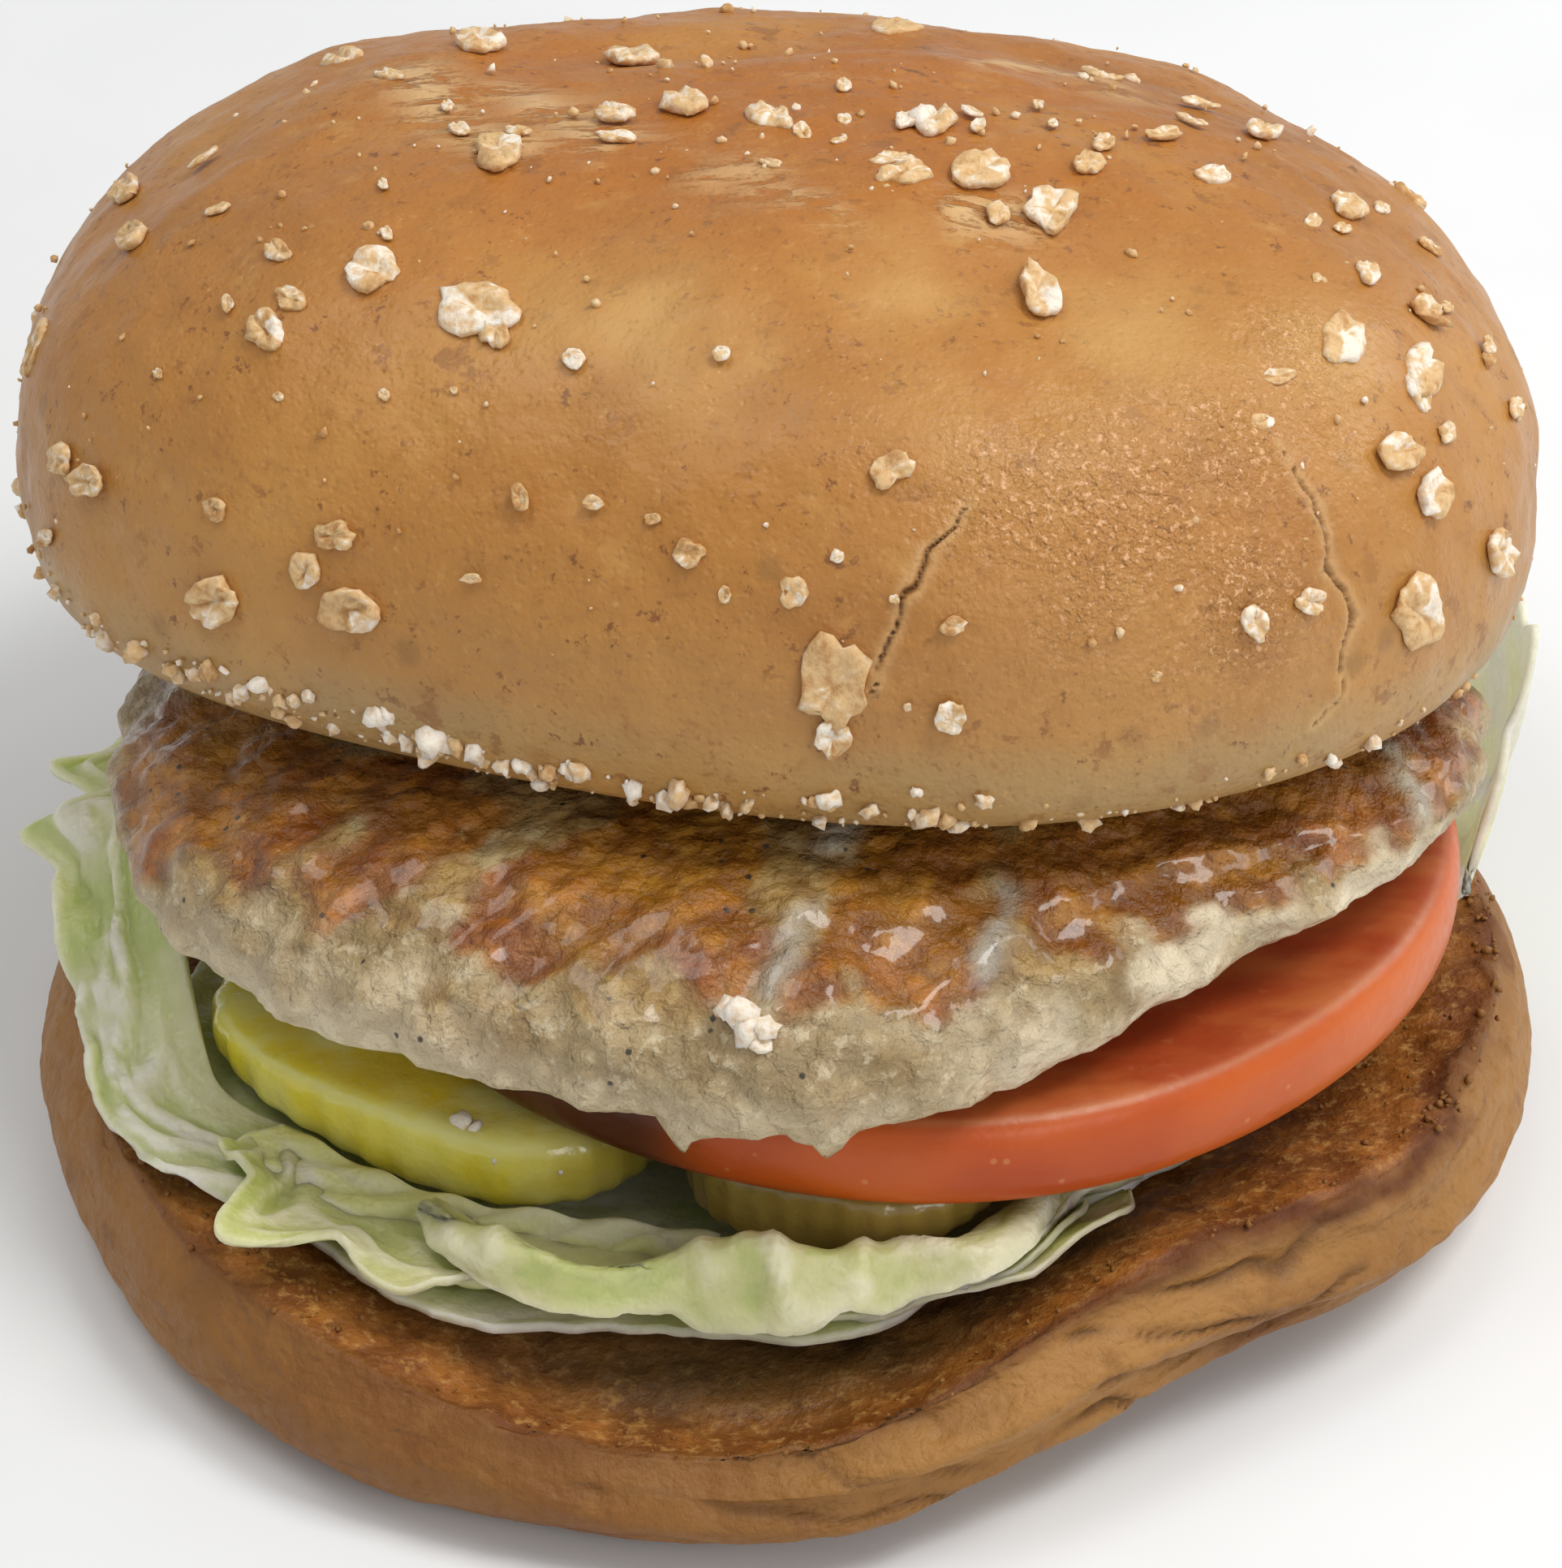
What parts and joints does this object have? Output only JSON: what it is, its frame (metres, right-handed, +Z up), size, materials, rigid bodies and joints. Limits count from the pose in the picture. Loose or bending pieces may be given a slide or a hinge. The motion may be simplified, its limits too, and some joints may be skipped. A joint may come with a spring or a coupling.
{
  "type": "turkey burger",
  "caption": "Turkey burger in an oat-topped bun, with tomato, pickle and lettuce showing under a leaning crown.",
  "frame": {"origin": "on the table under the middle of the heel, on the heel's flat underside", "axes": "+Z up; -Y is the open front where the fillings show and the stack leans back from; +X is to the right seen from the front"},
  "size_m": [0.1237, 0.1339, 0.0827],
  "materials": {
    "crown_crust": "satin",
    "heel_crust": "matte",
    "patty": "moist",
    "tomato": "gloss",
    "pickle": "wet gloss",
    "lettuce": "satin",
    "lettuce_rib": "satin"
  },
  "bodies": {
    "root": {"bun_heel": "heel_crust", "lettuce_base": "lettuce", "lettuce_left": "lettuce", "lettuce_corner": "lettuce", "lettuce_front": "lettuce_rib", "lettuce_right": "lettuce", "pickle_left": "pickle", "pickle_front": "pickle", "tomato_slice": "tomato", "turkey_patty": "patty", "bun_crown": "crown_crust"}
  },
  "joints": []
}
